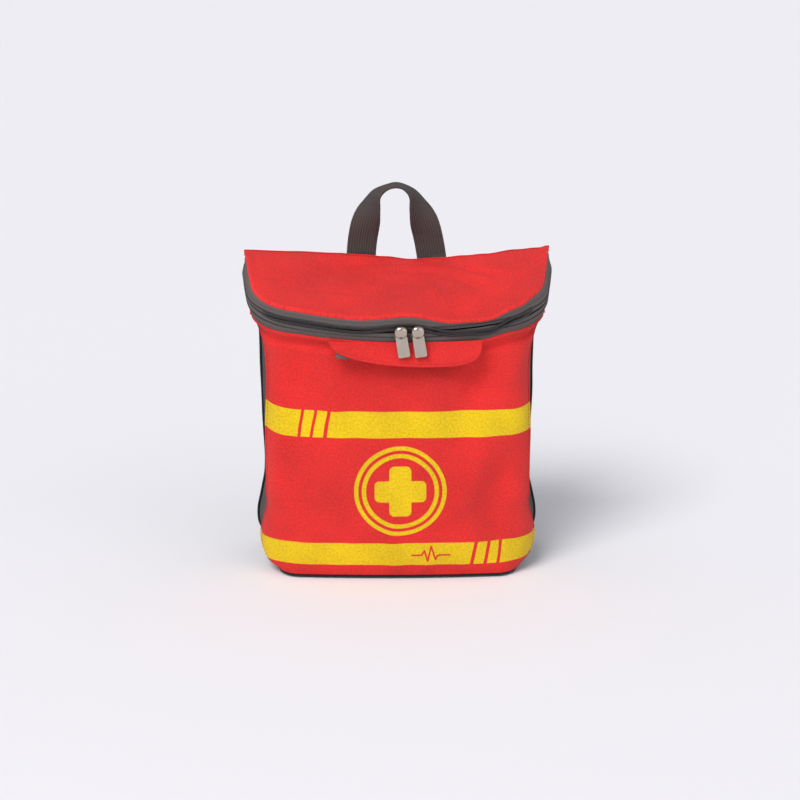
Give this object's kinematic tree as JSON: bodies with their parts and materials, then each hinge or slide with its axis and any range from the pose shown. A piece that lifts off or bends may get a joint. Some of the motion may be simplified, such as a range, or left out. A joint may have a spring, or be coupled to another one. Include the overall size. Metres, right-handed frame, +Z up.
{
  "type": "trauma backpack",
  "caption": "Small first-aid backpack with a zipped D-shaped lid, front grab tab, webbing carry handle and padded shoulder straps.",
  "frame": {"origin": "middle of the flat base, on the surface that the bag stands on", "axes": "+Z up, -Y out of the printed front, +X to the right when the front is seen"},
  "size_m": [0.2696, 0.1733, 0.317],
  "materials": {
    "red_fabric": "woven polyester",
    "grey_fabric": "woven webbing and tape",
    "dark_trim": "piping and coil",
    "lining_fabric": "smooth lining",
    "nickel": "polished nickel",
    "black_plastic": "satin moulding"
  },
  "bodies": {
    "shell": {"back_foam": "lining_fabric", "back_panel": "grey_fabric", "base_board": "black_plastic", "base_panel": "grey_fabric", "base_piping": "dark_trim", "front_panel": "red_fabric", "lining": "lining_fabric", "piping_left": "dark_trim", "piping_right": "dark_trim", "side_gusset_left": "grey_fabric", "side_gusset_right": "grey_fabric", "strap_anchor_left": "red_fabric", "strap_anchor_right": "red_fabric", "strap_pad_left": "grey_fabric", "strap_pad_right": "grey_fabric", "strap_patch": "grey_fabric", "strap_webbing_left": "grey_fabric", "strap_webbing_right": "grey_fabric", "zip_tape_lower": "grey_fabric", "zip_teeth_lower": "dark_trim"},
    "lid": {"lid_panel": "red_fabric", "lid_lining": "lining_fabric", "zip_tape_upper": "grey_fabric", "zip_teeth_upper": "dark_trim"},
    "slider_left": {"slider_left": "nickel"},
    "slider_right": {"slider_right": "nickel"},
    "pull_left": {"pull_left": "nickel"},
    "pull_right": {"pull_right": "nickel"},
    "front_tab": {"front_tab": "red_fabric", "tab_backing": "grey_fabric"},
    "carry_handle": {"carry_handle": "grey_fabric"},
    "strap_end_left": {"ladder_lock_left": "black_plastic", "strap_loop_left": "grey_fabric", "strap_tail_left": "grey_fabric"},
    "strap_end_right": {"ladder_lock_right": "black_plastic", "strap_loop_right": "grey_fabric", "strap_tail_right": "grey_fabric"}
  },
  "joints": [
    {"name": "lid_hinge", "type": "hinge", "parent": "shell", "child": "lid", "pos_m": [0, 0.055, 0.252], "axis": [-1, 0, 0], "range_deg": [0, 90]},
    {"name": "slider_left_run", "type": "hinge", "parent": "shell", "child": "slider_left", "pos_m": [0, 0.15489, 0.26387], "axis": [0, -0.225, 0.9744], "range_deg": [-14, 0]},
    {"name": "pull_left_swing", "type": "hinge", "parent": "slider_left", "child": "pull_left", "pos_m": [0.00185, -0.06512, 0.21308], "axis": [-0.9877, 0, -0.1564], "range_deg": [0, 85]},
    {"name": "slider_right_run", "type": "hinge", "parent": "shell", "child": "slider_right", "pos_m": [0, 0.15489, 0.26387], "axis": [0, -0.225, 0.9744], "range_deg": [0, 14]},
    {"name": "pull_right_swing", "type": "hinge", "parent": "slider_right", "child": "pull_right", "pos_m": [0.01538, -0.06461, 0.2132], "axis": [-0.9877, 0, -0.1564], "range_deg": [0, 85]},
    {"name": "front_tab_press", "type": "hinge", "parent": "shell", "child": "front_tab", "pos_m": [0, -0.0595, 0.2056], "axis": [1, 0, 0], "range_deg": [0, 5]},
    {"name": "carry_handle_fold", "type": "hinge", "parent": "shell", "child": "carry_handle", "pos_m": [0, 0.058, 0.247], "axis": [-1, 0, 0], "range_deg": [-10, 85]},
    {"name": "strap_adjust_left", "type": "slide", "parent": "shell", "child": "strap_end_left", "axis": [-0.2017, -0.2419, -0.9491], "range_m": [0, 0.02]},
    {"name": "strap_adjust_right", "type": "slide", "parent": "shell", "child": "strap_end_right", "axis": [0.2017, -0.2419, -0.9491], "range_m": [0, 0.02]}
  ]
}
